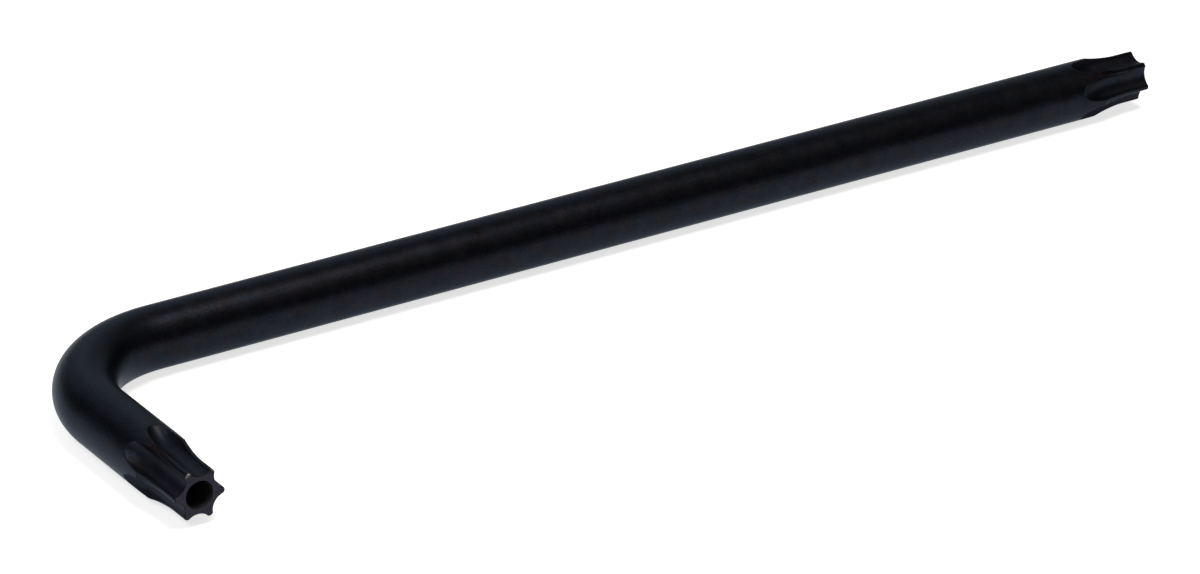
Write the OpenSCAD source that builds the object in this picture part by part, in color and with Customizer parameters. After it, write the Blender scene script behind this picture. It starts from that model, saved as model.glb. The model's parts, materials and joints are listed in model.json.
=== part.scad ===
// Six-lobe security key: one length of round steel bar, bent into an L.
// Each arm ends in a six-lobe star with a pin hole in its face, so either
// end turns a tamper-resistant screw that has a pin in its socket.
// The key lies flat, in millimetres: the long arm runs along X, the short
// arm runs towards -Y, and the lowest line of the bar is at Z = 0. The
// origin is under the middle of the space that the key takes up.

/* [Bar] */
// Diameter of the round bar
bar_d = 5.4; // [5.2:0.1:7]
// Reach of the long arm, over the outside of the bend
long_reach = 116; // [70:1:200]
// Reach of the short arm, over the outside of the bend
short_reach = 29.2; // [24:0.2:60]
// Radius of the bend, along the middle of the bar
bend_r = 10.5; // [6:0.5:13]

/* [Star] */
// Diameter over the lobes of the star
star_od = 4.5; // [3.7:0.05:5]
// Length behind the end face over which the star keeps its diameter
tip_len = 1.8; // [0.8:0.1:2.5]
// Distance from the end face to the full diameter of the bar
flare_start = 5.3; // [4:0.1:8]
// Radius that rounds the crest of a lobe
crest_r = 0.32; // [0.3:0.01:0.4]
// Size of the broken edge round the end face
edge_break = 0.12; // [0.05:0.01:0.2]
// Turn of the star about the axis of the long arm, in degrees
long_turn = 17.5; // [-30:0.5:30]
// Turn of the star about the axis of the short arm, in degrees
short_turn = 4; // [-30:0.5:30]

/* [Flutes] */
// Length from the end face over which a flute keeps its full depth
flute_len = 4.7; // [3:0.1:7]
// Radius of the curve in which a flute runs out into the bar
runout_r = 4.9; // [3.5:0.1:12]

/* [Pin holes] */
// Diameter of the pin hole
pin_hole_d = 2.44; // [1.2:0.02:3]
// Depth of the pin hole, without its drill point
pin_hole_depth = 5; // [2:0.1:9]
// Angle of the drill point, in degrees
drill_angle = 118; // [90:1:140]

/* [Hidden] */
$fn = 96;

// The standard star form: six lobes, with the root circle and the
// rounding of the lobes as fixed shares of the diameter over the lobes.
LOBES = 6;
ROOT_SHARE = 0.72;
LOBE_SHARE = 0.065;

// A cutter passes the surface that it cuts by this much.
OVER = 1;

bar_r = bar_d / 2;
star_r = star_od / 2;
root_r = ROOT_SHARE * star_r;
lobe_r = LOBE_SHARE * star_od;

// A flute is an arc that meets the circles of the two lobes beside it.
lobe_at = star_r - lobe_r;
lobe_x = lobe_at * cos(180 / LOBES);
lobe_y = lobe_at * sin(180 / LOBES);
flute_r = (pow(root_r, 2) + pow(lobe_at, 2) - 2 * root_r * lobe_x - pow(lobe_r, 2))
        / (2 * (lobe_x + lobe_r - root_r));
flute_x = root_r + flute_r;

// Where arc and lobe meet, a flat flank takes over from the arc and goes
// on outwards, so each lobe tapers a little towards its crest.
LOBE_TAPER = 4;
meet_angle = atan2(lobe_y, flute_x - lobe_x);
meet_x = flute_x - flute_r * cos(meet_angle);
meet_y = flute_r * sin(meet_angle);
flank_angle = 180 / LOBES + LOBE_TAPER;
flank_root_x = meet_x - meet_y / tan(flank_angle);
flank_end_x = bar_r + OVER;
flank_end_y = (flank_end_x - flank_root_x) * tan(flank_angle);

// The flanks are chords of the arc's circle. Halfway along them, the
// flute is open to its full width.
chord_half = flute_r * cos(meet_angle + flank_angle);
open_x = meet_x + chord_half * cos(flank_angle);

// Radius of an arc that starts level and rises by this much over a length.
function hollow_r(length, rise) = (pow(length, 2) + pow(rise, 2)) / 2 / rise;

// The flare is one such arc, from the end of the tip to the full bar. The
// blank is turned slightly larger than the star, and the crests are then
// rounded down to it.
BLANK_SPARE = 0.015;
blank_r = star_r + BLANK_SPARE;
flare_len = flare_start - tip_len;
flare_r = hollow_r(flare_len, bar_r - blank_r);
FLARE_FN = 360;

// The crest rounding curves outwards faster than the flare. It fades into
// a flat land, which widens from a point towards the full bar.
CREST_FADE = 0.17;
CREST_CUT = 0.35;
crest_bend_r = hollow_r(flare_len, bar_r + CREST_FADE - star_r);
crest_bend = asin(flare_len / crest_bend_r);

drill_tip = pin_hole_d / 2 / tan(drill_angle / 2);
long_straight = long_reach - bar_r - bend_r;
short_straight = short_reach - bar_r - bend_r;

// Half section of an arm: the axis is at X = 0, the end face at Y = 0.
module arm_section(straight) {
    difference() {
        square([bar_r, straight]);
        translate([blank_r, -OVER])
            square([bar_r, OVER + tip_len]);
        intersection() {
            translate([blank_r + flare_r, tip_len])
                circle(flare_r, $fn = FLARE_FN);
            translate([0, tip_len])
                square([bar_r + OVER, flare_len + OVER]);
        }
        translate([star_r, 0])
            rotate(45)
                square(edge_break * sqrt(2), center = true);
    }
}

// Section of a flute, which lies along +X with its root at root_r.
module flute_section() {
    intersection() {
        union() {
            translate([flute_x, 0])
                circle(flute_r);
            translate([open_x, -flank_end_y])
                square([flank_end_x, 2 * flank_end_y]);
        }
        polygon([
            [flank_root_x, 0],
            [flank_end_x, -flank_end_y],
            [flank_end_x, flank_end_y]
        ]);
    }
}

// Sweeps a section along the axis for a length, and then outwards round
// a wheel, whose rim starts at from_r and has the radius wheel_r.
module run_out(from_r, length, wheel_r, bend) {
    translate([0, 0, -OVER])
        linear_extrude(OVER + length)
            children();
    translate([from_r + wheel_r, 0, length])
        rotate([90, 0, 180])
            rotate_extrude(angle = bend)
                translate([from_r + wheel_r, 0])
                    mirror([1, 0])
                        children();
}

// One flute as its form tool leaves it: straight, then curving out.
module flute() {
    run_out(root_r, flute_len, runout_r, 90)
        flute_section();
}

// Section of what is taken off to round the crest of the lobe along +X.
module crest_section() {
    translate([star_r - crest_r, 0])
        difference() {
            translate([CREST_CUT * crest_r, -1.5 * crest_r])
                square([2 * crest_r, 3 * crest_r]);
            circle(crest_r);
        }
}

module crest_waste() {
    run_out(star_r, tip_len, crest_bend_r, crest_bend)
        crest_section();
}

module pin_hole() {
    translate([0, 0, -OVER])
        cylinder(d = pin_hole_d, h = OVER + pin_hole_depth);
    translate([0, 0, pin_hole_depth])
        cylinder(d1 = pin_hole_d, d2 = 0, h = drill_tip);
}

// One arm, with its end face at Z = 0 and the bend at its other end.
module arm(straight, turn) {
    difference() {
        rotate_extrude()
            arm_section(straight);
        rotate([0, 0, turn])
            for (i = [0 : LOBES - 1])
                rotate([0, 0, i * 360 / LOBES]) {
                    crest_waste();
                    rotate([0, 0, 180 / LOBES])
                        flute();
                }
        pin_hole();
    }
}

module bend() {
    rotate([0, 0, 90])
        rotate_extrude(angle = 90)
            translate([bend_r, 0])
                circle(bar_r);
}

module key() {
    color([0.16, 0.164, 0.18])
        translate([bar_r + bend_r - long_reach / 2, short_reach / 2 - bar_r - bend_r, bar_r]) {
            bend();
            translate([long_straight, bend_r, 0])
                rotate([0, -90, 0])
                    arm(long_straight, long_turn);
            translate([-bend_r, -short_straight, 0])
                rotate([-90, 0, 0])
                    arm(short_straight, short_turn);
        }
}

key();
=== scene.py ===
# %% [markdown]
# # A six-lobe security key, blackened
# The key is one length of round steel bar, bent into an L. Both ends are worked into a six-lobe star
# with a pin hole in the face, then the whole key is hardened and blackened. There is nothing else to
# it, so all of its looks lie in a few places: the crisp edges where the flutes run out into the bar,
# the way a dark satin skin mirrors a bright floor and a dim room, and the fine grain of that skin.
#
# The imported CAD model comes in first, as a fixed frame. Everything below is placed from its sizes.

# %% Load the frame
import json
import math

import bpy
import numpy as np
from mathutils import Matrix, Vector


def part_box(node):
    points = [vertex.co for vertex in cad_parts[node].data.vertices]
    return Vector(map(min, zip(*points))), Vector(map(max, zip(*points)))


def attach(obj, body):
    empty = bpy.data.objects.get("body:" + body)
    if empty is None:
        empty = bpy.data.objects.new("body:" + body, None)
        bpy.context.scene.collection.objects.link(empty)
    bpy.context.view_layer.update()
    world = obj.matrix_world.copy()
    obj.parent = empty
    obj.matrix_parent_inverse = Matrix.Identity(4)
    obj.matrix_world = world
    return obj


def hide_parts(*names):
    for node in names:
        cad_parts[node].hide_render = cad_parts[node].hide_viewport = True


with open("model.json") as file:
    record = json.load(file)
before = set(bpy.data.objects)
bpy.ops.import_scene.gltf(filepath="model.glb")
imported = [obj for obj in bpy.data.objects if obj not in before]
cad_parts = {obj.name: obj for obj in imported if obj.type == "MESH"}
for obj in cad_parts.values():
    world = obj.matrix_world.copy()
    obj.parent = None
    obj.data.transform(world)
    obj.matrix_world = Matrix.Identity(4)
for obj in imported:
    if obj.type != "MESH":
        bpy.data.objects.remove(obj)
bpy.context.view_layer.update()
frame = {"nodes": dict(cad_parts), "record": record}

NODE = "key"
MM = 0.001  # one millimetre, in the metres that the scene is in

low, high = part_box(NODE)
middle = (low + high) / 2
print("nodes:", sorted(frame["nodes"]), "size in mm:", [round(x / MM, 2) for x in high - low])

# %% [markdown]
# ## Camera
# A small thing is pictured with a long lens from some way off, so that its far end isn't dwarfed by
# the near one. The camera could be placed with a Track To constraint, but a matrix worked out from a
# turn, a drop and a distance says the same in numbers that can be read, and it takes a roll as well.

# %% Camera
VIEW_TURN = math.radians(33.49)     # from +Y towards +X
VIEW_DROP = math.radians(25.285)    # looking down
VIEW_ROLL = math.radians(-0.387)
VIEW_DISTANCE = 428.5 * MM
AIM_OFF_MIDDLE = Vector((-8.6, 0.2, 0)) * MM
LENS = 153.16                       # millimetres, on a 36 mm sensor

forward = Vector((
    math.sin(VIEW_TURN) * math.cos(VIEW_DROP),
    math.cos(VIEW_TURN) * math.cos(VIEW_DROP),
    -math.sin(VIEW_DROP),
))
level = forward.cross(Vector((0, 0, 1))).normalized()
upright = level.cross(forward)
up = upright * math.cos(VIEW_ROLL) + level * math.sin(VIEW_ROLL)
right = forward.cross(up)

camera = bpy.data.objects.new("camera", bpy.data.cameras.new("camera"))
bpy.context.scene.collection.objects.link(camera)
camera.data.lens = LENS
camera.data.clip_start = 10 * MM
camera.data.clip_end = 10
turn = Matrix((right, up, -forward)).transposed().to_4x4()
camera.matrix_world = Matrix.Translation(middle + AIM_OFF_MIDDLE - forward * VIEW_DISTANCE) @ turn
bpy.context.scene.camera = camera
print("camera at", [round(x / MM, 1) for x in camera.location], "mm")

# %% [markdown]
# ## Sizes
# The frame gives the outside sizes of the bar and its pin holes. The star's own sizes are the
# standard ones of its kind, as shares of the diameter over the lobes. Lengths are in millimetres
# from here to the finished mesh, because that is what a toolmaker would write down.

# %% Sizes of the bar and of its two ends
bar_r = (high.z - low.z) / MM / 2
bend_r = 10.5                       # along the middle of the bar
long_reach = (high.x - low.x) / MM
short_reach = (high.y - low.y) / MM
long_straight = long_reach - bar_r - bend_r
short_straight = short_reach - bar_r - bend_r
bend_length = bend_r * math.pi / 2
whole_length = long_straight + bend_length + short_straight

mounts = {mount["name"]: mount for mount in frame["record"]["mounts"]}
hole_r = mounts["short_end_hole"]["dims"]["r_mm"]
hole_depth = mounts["short_end_hole"]["dims"]["length_mm"]
drill_tip = hole_r / math.tan(math.radians(118 / 2))

star_r = 4.5 / 2
root_r = 0.72 * star_r
lobe_r = 0.13 * star_r
tip_length = 1.8                    # the star keeps its diameter over this length
flare_start = 5.3                   # here the flare reaches the full bar
blank_spare = 0.015                 # the blank is turned this much larger than the star
crest_r = 0.32
crest_fade = 0.17                   # the crest rounding passes the shoulder this far above the bar
flute_length = 4.7                  # the flute keeps its depth over this length
runout_r = 4.9                      # and then curves out at this radius
print(f"bar {2 * bar_r:.2f} mm, centreline {whole_length:.1f} mm, hole {2 * hole_r:.2f} mm")

# %% [markdown]
# ## The form of one end
# The steel at an end is what three cutters leave: a lathe turns the bar down in a hollow flare, a
# form tool sinks six flutes that curve out into the bar, and the crests between them are rounded.
# In Blender this could be three boolean cuts with a bevel on top, but booleans leave long thin
# faces just where the edges should catch the light. A height formula does better: at each place
# round and along the bar, the surface is as far out as the lowest of the three cutters allows.
# A smooth minimum in place of a plain one rolls the edges over a little, as tumbling does.

# %% Two cutters as formulas: the lathe and the crest rounding
def smooth_min(a, b, blend):
    near = np.clip(1 - np.abs(a - b) / blend, 0, 1)
    return np.minimum(a, b) - near ** 2 * blend / 4


def arc_radius(length, rise):
    """Radius of the arc that starts level and rises so much over a length."""
    return (length ** 2 + rise ** 2) / 2 / rise


def hollow_rise(depth, radius):
    """How far a hollow that starts at the end of the tip has risen at a depth."""
    return radius - np.sqrt(radius ** 2 - np.maximum(depth - tip_length, 0) ** 2)


CREST_REACH = 0.93                  # how far round a crest the rounding goes, by its radius
flare_length = flare_start - tip_length
flare_rise = bar_r - star_r - blank_spare
flare_r = arc_radius(flare_length, flare_rise)
crest_bend_r = arc_radius(flare_length, bar_r + crest_fade - star_r)


def turned_radius(depth):
    """How far out the turned bar is, at a depth behind its end face."""
    return smooth_min(star_r + blank_spare + hollow_rise(depth, flare_r), bar_r, 0.012)


def crest_radius(angle, depth):
    """How far out the rounding of a crest lets the steel stand. Angle 0 is the middle of a flute."""
    off_crest = np.abs(angle) - math.pi / 6
    centre = star_r - crest_r + hollow_rise(np.minimum(depth, 9), crest_bend_r)
    across = centre * np.sin(off_crest)
    rounding = centre * np.cos(off_crest) + np.sqrt(np.maximum(crest_r ** 2 - across ** 2, 0))
    return np.where(np.abs(across) < CREST_REACH * crest_r, rounding, 2 * bar_r)


print(f"flare radius {flare_r:.2f} mm, crest radius along the bar {crest_bend_r:.2f} mm")

# %% [markdown]
# The section of a flute is an arc that touches the circles of the lobes beside it, with flat flanks
# that open it outwards. Its tool is a wheel of that section: it runs straight along the bar, and
# then curves out. There is no short formula for the radius where a ray from the bar's axis meets
# that surface. But it is easy to tell whether a point is in steel or in air, so the radius is found
# by halving the gap between a point in steel and a point in air, forty times over.

# %% The third cutter: the flute
lobe_x = (star_r - lobe_r) * math.cos(math.pi / 6)
lobe_y = (star_r - lobe_r) * math.sin(math.pi / 6)
flute_r = (root_r ** 2 + (star_r - lobe_r) ** 2 - 2 * root_r * lobe_x - lobe_r ** 2) / (
    2 * (lobe_x + lobe_r - root_r))
flute_x = root_r + flute_r
flank_taper = math.radians(4)
meet_angle = math.atan2(lobe_y, flute_x - lobe_x)
flank_angle = math.pi / 6 + flank_taper
flank_x = flute_x - flute_r * math.cos(meet_angle)
flank_y = flute_r * math.sin(meet_angle)


def flute_half_width(x):
    arc = np.sqrt(np.maximum(flute_r ** 2 - (flute_x - x) ** 2, 0))
    flank = flank_y + (x - flank_x) * math.tan(flank_angle)
    return np.where(x < root_r, 0, np.where(x < flank_x, arc, flank))


def flute_radius(angle, depth):
    """How far out the flute lets the steel stand, found by halving the gap between steel and air."""
    inside = np.full(np.broadcast(angle, depth).shape, 0.9 * root_r)
    outside = np.full_like(inside, bar_r + 0.6)
    wheel_x = root_r + runout_r
    past = np.maximum(depth - flute_length, 0)
    for _ in range(40):
        radius = (inside + outside) / 2
        x = wheel_x - np.hypot(wheel_x - radius * np.cos(angle), past)
        steel = radius * np.sin(np.abs(angle)) >= flute_half_width(x)
        inside = np.where(steel, radius, inside)
        outside = np.where(steel, outside, radius)
    return outside


nose_depth = flute_length + math.sqrt(runout_r ** 2 - (runout_r - (bar_r - root_r)) ** 2)
print(f"flute radius {flute_r:.3f} mm, its nose {nose_depth:.2f} mm behind the face")

# %% [markdown]
# The rounding of a crest meets the flat land in a fine line. The edges of a flute are rolled more.

# %% The finished surface of an end
CREST_ROLL = 0.02                   # width of the stretch over which two surfaces blend
FLUTE_ROLL = 0.09


def blank_radius(angle, depth):
    return smooth_min(turned_radius(depth), crest_radius(angle, depth), CREST_ROLL)


def surface_radius(angle, depth):
    return smooth_min(blank_radius(angle, depth), flute_radius(angle, depth), FLUTE_ROLL)


print("the crest stands out", round(float(surface_radius(math.pi / 6, 1)), 3), "mm at the tip")

# %% [markdown]
# ## Columns of the mesh
# The mesh is a net of rings and columns. Evenly spaced columns would cross the flute's edges at a
# slant and make them look sawn. So one column follows each edge, and its neighbours crowd up to it:
# sixteen steps lead from the middle of a flute to its edge, spaced by length along the hollow, and
# seven go on to the middle of the crest. Behind the flutes the columns spread out evenly again.

# %% Where the columns run at each depth
FLUTE_STEPS = np.array([0, 9, 18, 27, 36, 45, 54, 62, 70, 77, 83, 88, 92, 95, 97.3, 99, 100]) / 100
CREST_STEPS = np.array([4, 10, 20, 36, 56, 78, 100]) / 100
HALF = len(FLUTE_STEPS) + len(CREST_STEPS) - 1       # steps from a flute's middle to a crest's
COLUMNS = 12 * HALF
LEAST_EDGE = math.radians(5)        # no column comes closer to the middle of a flute than this edge
SPREAD_LENGTH = 6                   # behind the nose, until the columns are even
even = np.linspace(0, math.pi / 6, HALF + 1)


def half_columns(depth):
    """Angles of the columns from the middle of a flute to the middle of a crest."""
    fine = np.linspace(0, math.pi / 6, 601)
    cut = flute_radius(fine, depth) < blank_radius(fine, depth)
    edge = max(fine[cut].max(initial=0), LEAST_EDGE)
    hollow = np.linspace(0, edge, 200)
    radius = surface_radius(hollow, depth)
    steps = np.hypot(np.diff(radius), radius[1:] * np.diff(hollow))
    length = np.concatenate([[0], np.cumsum(steps)])
    in_flute = np.interp(FLUTE_STEPS * length[-1], length, hollow)
    on_crest = edge + CREST_STEPS * (math.pi / 6 - edge)
    share = np.clip((depth - nose_depth) / SPREAD_LENGTH, 0, 1)
    share = share ** 2 * (3 - 2 * share)
    return (1 - share) * np.concatenate([in_flute, on_crest]) + share * even


def all_round(half):
    """The columns of one half flute, mirrored and repeated for the six flutes."""
    sector = np.concatenate([half, math.pi / 3 - half[-2:0:-1]])
    return np.concatenate([sector + k * math.pi / 3 for k in range(6)])


def within_sector(angles):
    """The same angles, measured from the middle of the nearest flute."""
    return (angles + math.pi / 6) % (math.pi / 3) - math.pi / 6


print(COLUMNS, "columns")

# %% [markdown]
# ## Rings of one end
# The rings start at the drill point in the bottom of the pin hole, come up its wall, cross the face
# and go over its broken edge, and then run back along the flutes. Rings are close together where
# the surface bends. Besides its place, each ring keeps what the finish needs to know: whether it
# lies in the hole, on the face or on the side, how far a flute has cut in, where the flat land
# between two flutes is, and how much of the painted glint a corner of the star gets.

# %% Rings of the hole and the face
EDGE_BREAK = (0.035, 0.10)          # in a flute, and on a crest
MOUTH_BREAK = 0.035
QUARTER = np.radians([90, 67.5, 45, 22.5])          # steps round a broken edge


def ring(up, out, depth, kind, flute=0, land=0, wear=0):
    """Points up and out from the bar's middle line, with what the finish needs to know of them."""
    full = np.ones(COLUMNS)
    return {"up": up, "out": out, "depth": depth * full, "kind": kind,
            "flute": flute * full, "land": land * full, "wear": wear * full}


def hole_rings():
    angles = all_round(half_columns(0))
    places = [(r, hole_depth + drill_tip * (1 - r / hole_r)) for r in (0.02, 0.5 * hole_r)]
    places += [(hole_r, hole_depth * share) for share in (1, 0.7, 0.4, 0.15, 0.04)]
    for a in QUARTER:
        places.append((hole_r + MOUTH_BREAK * (1 - math.sin(a)), MOUTH_BREAK * (1 - math.cos(a))))
    return [ring(r * np.cos(angles), r * np.sin(angles), depth, "hole") for r, depth in places]


def face_rings():
    angles = all_round(half_columns(0))
    inner = surface_radius(within_sector(angles), 0.1)
    share = np.clip((inner - root_r) / (star_r - root_r), 0, 1)
    size = EDGE_BREAK[0] + (EDGE_BREAK[1] - EDGE_BREAK[0]) * share
    outline = surface_radius(within_sector(angles), size) * np.exp(1j * angles)
    along = np.roll(outline, -1) - np.roll(outline, 1)
    inward = 1j * along / np.abs(along)
    corner = [outline + inward * size * (1 - math.cos(a)) for a in QUARTER]
    mouth = (hole_r + MOUTH_BREAK) * np.exp(1j * angles)
    flat = [mouth + (corner[0] - mouth) * s for s in (0, 0.04, 0.3, 0.65, 0.96)]
    # how much of the painted glint each point of the broken edge gets, most at the corners of the star
    wear = share ** 4
    rings = [ring(p.real, p.imag, 0, "face") for p in flat]
    for p, a in zip(corner, QUARTER):
        rings.append(ring(p.real, p.imag, size * (1 - math.sin(a)), "side", wear=wear))
    return rings + [ring(outline.real, outline.imag, size, "side", wear=wear)]


print(len(hole_rings()), "rings in the hole,", len(face_rings()), "on the face and over its edge")

# %% Rings of the star and the flutes' ends
FLUTE_CUT = 0.12                    # from this depth of cut on, the finish is wholly the flute's
LAND_CUT = 0.05                     # the same for the land, by how far the crest rounding clears it


def star_rings():
    depths = np.concatenate([
        np.linspace(0.15, tip_length, 7),
        np.linspace(tip_length, flare_start - 0.1, 34)[1:],
        flare_start + np.array([-0.04, 0, 0.04, 0.1]),
        nose_depth - (nose_depth - flare_start - 0.1) * np.linspace(1, 0, 24)[1:] ** 2,
        nose_depth + np.array([0.02, 0.05, 0.1, 0.2, 0.35, 0.6, 1, 1.5, 2.1, 2.8, 3.6, 4.4, 5.2]),
        [nose_depth + SPREAD_LENGTH],
    ])
    rings = []
    for depth in depths:
        angles = all_round(half_columns(depth))
        inside = within_sector(angles)
        radius = surface_radius(inside, depth)
        flute = np.clip((blank_radius(inside, depth) - radius) / FLUTE_CUT, 0, 1)
        land = np.clip((crest_radius(inside, depth) - turned_radius(depth)) / LAND_CUT, 0, 1)
        rings.append(ring(radius * np.cos(angles), radius * np.sin(angles), depth, "side", flute, land))
    return rings


end_rings = hole_rings() + face_rings() + star_rings()
print(len(end_rings), "rings at each end")

# %% [markdown]
# ## From a straight bar to an L
# The rings describe a straight bar. Bending it is the same sum for every point: go along the middle
# line of the bar, then up and out from there. A curve object with a bevel would sweep a section too,
# but only one section, and here it changes all along. The two stars are turned differently about
# the bar, so the columns twist by a few degrees on the plain stretch between them, where it can't
# be seen.
#
# The star of the long end has a crest 17.5 degrees from the top of the bar, and the star of the
# short end has a flute 4 degrees from it. A turn by a whole flute changes nothing, because the six
# are alike. So the short end takes the flute that twists the columns least.

# %% Bend the bar
LONG_TURN = math.radians(17.5 + 30)     # from the top of the bar to the middle of a flute
SHORT_TURN = math.radians(60 - 4)
bend_x = low.x / MM + bar_r + bend_r
bend_y = high.y / MM - bar_r - bend_r


def on_the_bar(along, up, out):
    """Points of the bent bar, in metres. Along is 0 at the long end, and out is away from the bend."""
    round_bend = np.clip((along - long_straight) / bend_r, 0, math.pi / 2)
    before = np.minimum(along - long_straight, 0)
    after = np.maximum(along - long_straight - bend_length, 0)
    reach = bend_r + out
    x = bend_x - reach * np.sin(round_bend) - before
    y = bend_y + reach * np.cos(round_bend) - after
    return np.stack([x, y, low.z / MM + bar_r + up], axis=-1) * MM


print("the bend's centre is at", round(bend_x, 2), round(bend_y, 2), "mm")


# %% All the rings from end to end
def turned(up, out, by):
    return up * math.cos(by) - out * math.sin(by), up * math.sin(by) + out * math.cos(by)


def finished_ring(source, by, from_long_end):
    up, out = turned(source["up"], source["out"], by)
    depth = source["depth"]
    along = depth if from_long_end else whole_length - depth
    return {**source, "up": up, "out": out, "along": along}


def plain_rings(start, stop):
    """Rings of plain bar between the two ends, closer together round the bend."""
    alongs = np.concatenate([
        np.linspace(start, long_straight, 16)[1:],
        np.linspace(long_straight, long_straight + bend_length, 57)[1:],
        np.linspace(long_straight + bend_length, stop, 6)[1:-1],
    ])
    rings = []
    for along in alongs:
        by = np.interp(along, [start, stop], [LONG_TURN, SHORT_TURN])
        angles = all_round(even)
        up, out = turned(bar_r * np.cos(angles), bar_r * np.sin(angles), by)
        depth = min(along, whole_length - along)
        rings.append({**ring(up, out, depth, "side"), "along": np.full(COLUMNS, along)})
    return rings


last = nose_depth + SPREAD_LENGTH
rings = [finished_ring(r, LONG_TURN, True) for r in end_rings]
rings += plain_rings(last, whole_length - last)
rings += [finished_ring(r, SHORT_TURN, False) for r in reversed(end_rings)]
print(len(rings), "rings in all")

# %% [markdown]
# ## The mesh
# Each ring joins the next with one band of four-sided faces, and a fan closes the drill point at
# either end. The numbers for the finish go along as attributes. One is the place on the straight
# bar in millimetres, which lets a pattern follow the bend. The others are the depth behind the end
# face, and how far each point belongs to a flute, a land, a corner with a painted glint, the face or
# the hole.

# %% Build the key's mesh
def stacked(name):
    return np.concatenate([r[name] for r in rings])


straight = np.stack([stacked("along"), stacked("up"), stacked("out")], axis=-1)
points = on_the_bar(straight[:, 0], straight[:, 1], straight[:, 2])
kinds = np.repeat([r["kind"] for r in rings], COLUMNS)
drill_points = np.array([
    [hole_depth + drill_tip, 0, 0],
    [whole_length - hole_depth - drill_tip, 0, 0],
])
points = np.concatenate([points, on_the_bar(*drill_points.T)])

here = np.arange(COLUMNS)
beside = (here + 1) % COLUMNS
faces = []
for i in range(len(rings) - 1):
    a, b = i * COLUMNS, (i + 1) * COLUMNS
    faces += np.stack([a + here, a + beside, b + beside, b + here], axis=-1).tolist()
count = len(rings) * COLUMNS
faces += [(count, a, b) for a, b in zip(beside.tolist(), here.tolist())]
end = count - COLUMNS
faces += [(count + 1, end + a, end + b) for a, b in zip(here.tolist(), beside.tolist())]

mesh = bpy.data.meshes.new("blackened_key")
mesh.from_pydata(points.tolist(), [], faces)
mesh.polygons.foreach_set("use_smooth", np.ones(len(mesh.polygons), bool))
mesh.validate()
mesh.update()

key = bpy.data.objects.new("blackened_key", mesh)
bpy.context.scene.collection.objects.link(key)
print(len(mesh.vertices), "vertices,", sum(len(p.vertices) - 2 for p in mesh.polygons), "triangles")

# %% Numbers for the finish
def give(name, values, kind="FLOAT"):
    attribute = mesh.attributes.new(name, kind, "POINT")
    field = "vector" if kind == "FLOAT_VECTOR" else "value"
    attribute.data.foreach_set(field, np.asarray(values, np.float32).ravel())


give("straight", np.concatenate([straight, drill_points]), "FLOAT_VECTOR")
give("depth", np.concatenate([stacked("depth"), [hole_depth, hole_depth]]))
give("flute", np.concatenate([stacked("flute"), [0, 0]]))
give("land", np.concatenate([stacked("land"), [0, 0]]))
give("face", np.concatenate([kinds == "face", [False, False]]))
# the share of the painted glint at the corners of the star
give("wear", np.concatenate([stacked("wear"), [0, 0]]))
give("hole", np.concatenate([kinds == "hole", [True, True]]))
print("attributes:", [a.name for a in mesh.attributes if not a.is_internal])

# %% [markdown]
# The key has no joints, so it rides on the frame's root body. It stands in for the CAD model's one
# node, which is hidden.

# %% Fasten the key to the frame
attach(key, "root")
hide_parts(NODE)
print(key.name, "rides on root and replaces", NODE)

# %% [markdown]
# ## Shader maths as plain expressions
# A node tree is a formula drawn as boxes. Written as a formula it is shorter and easier to change.
# The class below stands for one output of a node. Adding or multiplying two of them makes a Math
# node, or a Vector Math node where a vector is involved, and gives back that node's output.

# %% A socket that can be reckoned with
class Socket:
    def __init__(self, tree, output):
        self.tree = tree
        self.output = output

    def node(self, kind, settings=None, sockets=None, output=0):
        return add_node(self.tree, kind, settings, sockets, output)

    def reckon(self, operation, *values):
        vectors = [v for v in values if isinstance(v, Socket) and v.output.type in ("VECTOR", "RGBA")]
        kind = "ShaderNodeVectorMath" if vectors else "ShaderNodeMath"
        return self.node(kind, {"operation": operation}, dict(enumerate(values)))

    def __add__(self, other):
        return self.reckon("ADD", self, other)

    def __sub__(self, other):
        return self.reckon("SUBTRACT", self, other)

    def __mul__(self, other):
        return self.reckon("MULTIPLY", self, other)

    def __rsub__(self, other):
        return self.reckon("SUBTRACT", other, self)

    __radd__ = __add__
    __rmul__ = __mul__

    def clear_of(self, start, stop):
        """0 up to start, 1 from stop on, and a soft step between. Start may be the larger one."""
        return self.node("ShaderNodeMapRange", {"interpolation_type": "SMOOTHSTEP"},
                         {"Value": self, "From Min": start, "From Max": stop})


# %% Nodes, colours and materials
def add_node(tree, kind, settings=None, sockets=None, output=0):
    """Adds a node: its settings come first, then the values or links of its sockets."""
    node = tree.nodes.new(kind)
    for name, value in (settings or {}).items():
        setattr(node, name, value)
    for name, value in (sockets or {}).items():
        if isinstance(value, Socket):
            tree.links.new(value.output, node.inputs[name])
        elif isinstance(value, (int, float)) and node.inputs[name].type == "VECTOR":
            node.inputs[name].default_value = (value, value, value)
        else:
            node.inputs[name].default_value = value
    return Socket(tree, node.outputs[output]) if node.outputs else None


def mix_colours(factor, first, second, blend="MIX"):
    settings = {"data_type": "RGBA", "blend_type": blend}
    return factor.node("ShaderNodeMix", settings, {0: factor, 6: first, 7: second}, 2)


def linear(*srgb):
    """A colour as it looks on a screen, turned into the linear light that sockets work in."""
    light = [c / 12.92 if c <= 0.04045 else ((c + 0.055) / 1.055) ** 2.4 for c in srgb]
    return (*light, 1)


def new_material(name):
    material = bpy.data.materials.new(name)
    material.use_nodes = True
    material.node_tree.nodes.clear()
    return material


print("a middle grey in linear light:", round(linear(0.5)[0], 3))
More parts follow.
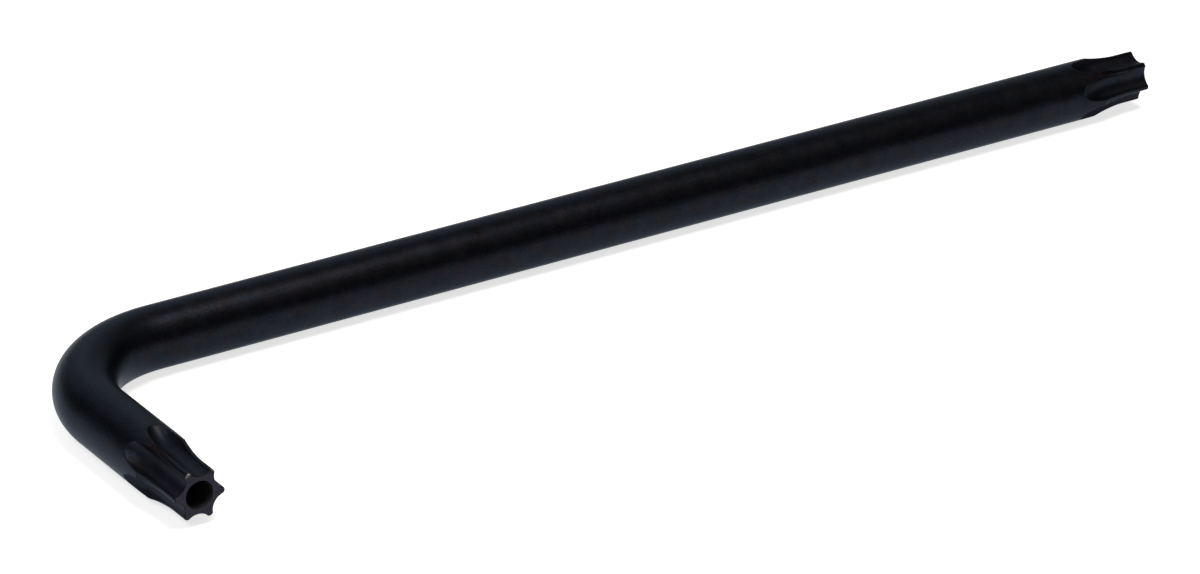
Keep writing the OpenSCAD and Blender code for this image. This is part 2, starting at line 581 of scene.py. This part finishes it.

# %% [markdown]
# ## Black oxide on hardened steel
# Blackening grows a skin of oxide a thousandth of a millimetre thick. It stays metallic, with a very
# dark mirror colour, and comes out in soft patches, some of them warmer and some bluer. The blasted
# steel below gives it a fine grain. In the flutes the grain is weaker, and the skin a little paler
# and duller. Behind them, the bar has faint marks of the tool that turned it. On the upper lands
# between the flutes a brown tinge is painted, as a painted reflection of the tops of the lobes. The
# sawn face is duller and paler than the rest, bright glints are painted on the upper corners of the
# star, and the drilled holes are dull and dark.
#
# A dark dielectric could be used instead, but a metal with a dark colour gives the same deep black
# with bright rims, and its tint shows in its reflections, where the real skin shows it too.

# %% Black oxide: patterns
oxide = new_material("black_oxide_steel")
tree = oxide.node_tree


def attribute(name, output):
    return add_node(tree, "ShaderNodeAttribute", {"attribute_name": name}, {}, output)


def noise(place, per_mm, detail=2, roughness=0.5):
    """Noise between 0 and 1 with so many lumps to a millimetre."""
    return place.node("ShaderNodeTexNoise", {"noise_dimensions": "3D"}, {
        "Vector": place, "Scale": per_mm, "Detail": detail, "Roughness": roughness})


place = attribute("straight", "Vector")
depth = attribute("depth", "Fac")
flute = attribute("flute", "Fac")
land = attribute("land", "Fac")
face = attribute("face", "Fac")
wear = attribute("wear", "Fac")
hole = attribute("hole", "Fac")

grain = noise(place, 4.5, 3, 0.6)
clouds = noise(place, 0.8, 3, 0.6)
mottle = noise(place + (30, 0, 0), 0.7, 3, 0.6)
rings_of_tool = noise(place * (5, 0.12, 0.12), 1, 2)
streaks = noise(place * (0.25, 6, 6), 1, 2)
print("patterns: a grain, two kinds of patches, marks of turning and streaks along the flutes")

# %% Black oxide: colour
warm_skin = linear(0.118, 0.115, 0.134)
cool_skin = linear(0.103, 0.117, 0.149)
# painted reflection: the brown painted on the upper lands
land_reflection_colour = linear(0.170, 0.115, 0.112)
sawn_skin = linear(0.176, 0.174, 0.212)
# painted glint: the bright colour painted on the upper corners of the star
glint_colour = linear(0.55, 0.54, 0.55)
hole_skin = linear(0.18, 0.175, 0.195)

on_bar = (1 - flute) * (1 - face) * (1 - hole)
# the upper side of the bar, which the painted reflection and the painted glints are kept to
upper_side = place.node("ShaderNodeSeparateXYZ", {}, {"Vector": place}, "Y").clear_of(0.8, 1.8)
# painted reflection: brown on the lands near the end, on the upper side of the bar only
painted_land_reflection = on_bar * land * upper_side * depth.clear_of(6.2, 5.0)
# painted glint: the upper corners of the star made bright, broken up by the grain
painted_glint = wear * upper_side * grain.clear_of(0.4, 0.6)
marks = rings_of_tool.clear_of(0.55, 0.7) * depth.clear_of(7.5, 8.5) * depth.clear_of(13, 10) * on_bar

colour = mix_colours(clouds.clear_of(0.35, 0.65), warm_skin, cool_skin)
# the painted reflection is mixed in on the upper lands
colour = mix_colours(painted_land_reflection * 0.65, colour, land_reflection_colour)
colour = mix_colours(face, colour, sawn_skin)
# the painted glint is mixed in on the upper corners
colour = mix_colours(painted_glint, colour, glint_colour)
colour = mix_colours(hole, colour, hole_skin)
colour = colour * (grain * 1.05 + mottle * 0.95 + marks * 0.15) * (1 + flute * 0.17)
print("the colour takes", len(tree.nodes), "nodes so far")

# %% Black oxide: gloss and relief
roughness = 0.38 + (mottle - 0.5) * 0.10 + flute * 0.07 + face * 0.12
relief = grain * (1 - flute * 0.6) + marks * 0.3 + streaks * flute * 0.15
bump = relief.node("ShaderNodeBump", {}, {"Strength": 1, "Distance": 0.020 * MM, "Height": relief})

shader = add_node(tree, "ShaderNodeBsdfPrincipled", {}, {
    "Base Color": colour,
    "Metallic": 1 - hole,
    "Roughness": roughness,
    "Specular Tint": (0.62, 0.66, 0.72, 1),
    "Normal": bump,
})
add_node(tree, "ShaderNodeOutputMaterial", {}, {"Surface": shader})
key.data.materials.append(oxide)
print(oxide.name, "has", len(tree.nodes), "nodes")

# %% [markdown]
# ## Floor and room
# The key lies on a plain white floor. Lit evenly, a white floor comes out a little grey, so it adds
# just enough light of its own, for the camera and for mirror images only, to reach white away from
# the key. What the key shades stays darker. The more of the white is glow and the less is lamp
# light, the fainter that shade is, and here it is kept faint.

# %% Floor
FLOOR_SIZE = 6.0                    # metres

floor_mesh = bpy.data.meshes.new("floor")
half = FLOOR_SIZE / 2
corners = [(-half, -half, 0), (half, -half, 0), (half, half, 0), (-half, half, 0)]
floor_mesh.from_pydata(corners, [], [(0, 1, 2, 3)])
floor = bpy.data.objects.new("floor", floor_mesh)
bpy.context.scene.collection.objects.link(floor)

print("floor", FLOOR_SIZE, "m wide")

# %% Finish of the floor
FLOOR_COLOUR = (0.65, 0.65, 0.65, 1)
FLOOR_GLOW = 0.72
white_floor = new_material("white_floor")
floor_tree = white_floor.node_tree


def light_path(name):
    return add_node(floor_tree, "ShaderNodeLightPath", {}, {}, name)


# 1 for the camera and for what is seen in metal or through glass, and 0 for light on the key.
seen_directly = light_path("Is Camera Ray") + light_path("Is Glossy Ray")
seen_directly = seen_directly + light_path("Is Transmission Ray")

diffuse = add_node(floor_tree, "ShaderNodeBsdfDiffuse", {}, {"Color": FLOOR_COLOUR})
glow = add_node(floor_tree, "ShaderNodeEmission", {}, {"Strength": seen_directly * FLOOR_GLOW})
both = add_node(floor_tree, "ShaderNodeAddShader", {}, {0: diffuse, 1: glow})
add_node(floor_tree, "ShaderNodeOutputMaterial", {}, {"Surface": both})
floor_mesh.materials.append(white_floor)
print(white_floor.name, "has", len(floor_tree.nodes), "nodes")

# %% [markdown]
# ## Light
# What shapes a dark shiny bar is not how much light falls on it but what it mirrors. Seen from the
# camera, the upper side of the bar mirrors the room behind the key, its middle mirrors the ceiling
# and the dim room around the camera, and its lower side mirrors the white floor. So the room is
# nearly black all over, with a few soft pale parts. Two lie behind the key and make the pale rim
# along its upper side, one is dim, to the right, and one is low on the left. The last is small
# and bright, high on the left, and puts a glint into the nose of a flute.
#
# An image of a real room could be used instead, but spots of a sum can be moved one at a time. A
# direction belongs to a spot when it is close to the spot's middle, and the dot product of the two
# tells how close it is.

# %% Pale parts of the room
ROOM = (0.07, 0.07, 0.07, 1)
PALE_PARTS = [
    # bearing, height, half width in degrees, colour
    (85, 36, 31.8, (0.68, 0.69, 0.74, 1)),
    (50, 25, 31.8, (0.52, 0.51, 0.50, 1)),
    (-45, 50, 36.9, (0.24, 0.21, 0.17, 1)),
    (-163, 54, 15, (6.0, 6.0, 6.1, 1)),
    (162, 20, 34, (0.50, 0.51, 0.54, 1)),
]
SPOT_CORE = 0.99                    # cosine of the angle inside which a part has its full colour


def direction_to(bearing, height):
    """From the key: bearing in degrees from +X towards +Y, and height in degrees over the floor."""
    bearing = math.radians(bearing)
    height = math.radians(height)
    flat = math.cos(height)
    return Vector((flat * math.cos(bearing), flat * math.sin(bearing), math.sin(height)))


# %% Room
world = bpy.data.worlds.new("room")
bpy.context.scene.world = world
world.use_nodes = True
room_tree = world.node_tree
room_tree.nodes.clear()
direction = add_node(room_tree, "ShaderNodeTexCoord", {}, {}, "Generated")
room = ROOM
for bearing, height, half_width, shade in PALE_PARTS:
    closeness = direction.node("ShaderNodeVectorMath", {"operation": "DOT_PRODUCT"},
                               {0: direction, 1: direction_to(bearing, height)}, 1)
    rim = math.cos(math.radians(half_width))
    room = mix_colours(closeness.clear_of(rim, SPOT_CORE), room, shade, "ADD")
background = add_node(room_tree, "ShaderNodeBackground", {}, {"Color": room, "Strength": 1.0})
add_node(room_tree, "ShaderNodeOutputWorld", {}, {"Surface": background})
print("room with", len(PALE_PARTS), "pale parts")

# %% [markdown]
# The band of light along the top is strongest near the bend and fades along the long arm. A sun
# would light the whole arm alike. One wide disc half a metre above the bend is near enough to fade,
# and far enough to keep the floor even. Its width makes the band and the shadow's edge soft.

# %% Lamp
LAMP_DISTANCE = 0.55                # metres
LAMP_WIDTH = 0.25
LAMP_POWER = 2.0 * math.pi * LAMP_DISTANCE ** 2     # a plain level of light at the bend

lamp = bpy.data.lights.new("ceiling_lamp", "AREA")
lamp.shape = "DISK"
lamp.size = LAMP_WIDTH
lamp.energy = LAMP_POWER
lamp.color = (1.0, 0.92, 0.81)
toward_lamp = direction_to(-48, 77)
holder = bpy.data.objects.new("ceiling_lamp", lamp)
bpy.context.scene.collection.objects.link(holder)
holder.location = Vector((low.x, middle.y, 0)) + toward_lamp * LAMP_DISTANCE
holder.rotation_mode = "QUATERNION"
holder.rotation_quaternion = toward_lamp.to_track_quat("Z", "Y")
print("lamp at", [round(x, 3) for x in holder.location], "m,", round(LAMP_POWER, 2), "W")

# %% [markdown]
# Blender's usual view transform softens bright colours. The standard one shows them as written.

# %% Plain view settings
bpy.context.scene.view_settings.view_transform = "Standard"
print("view transform:", bpy.context.scene.view_settings.view_transform)
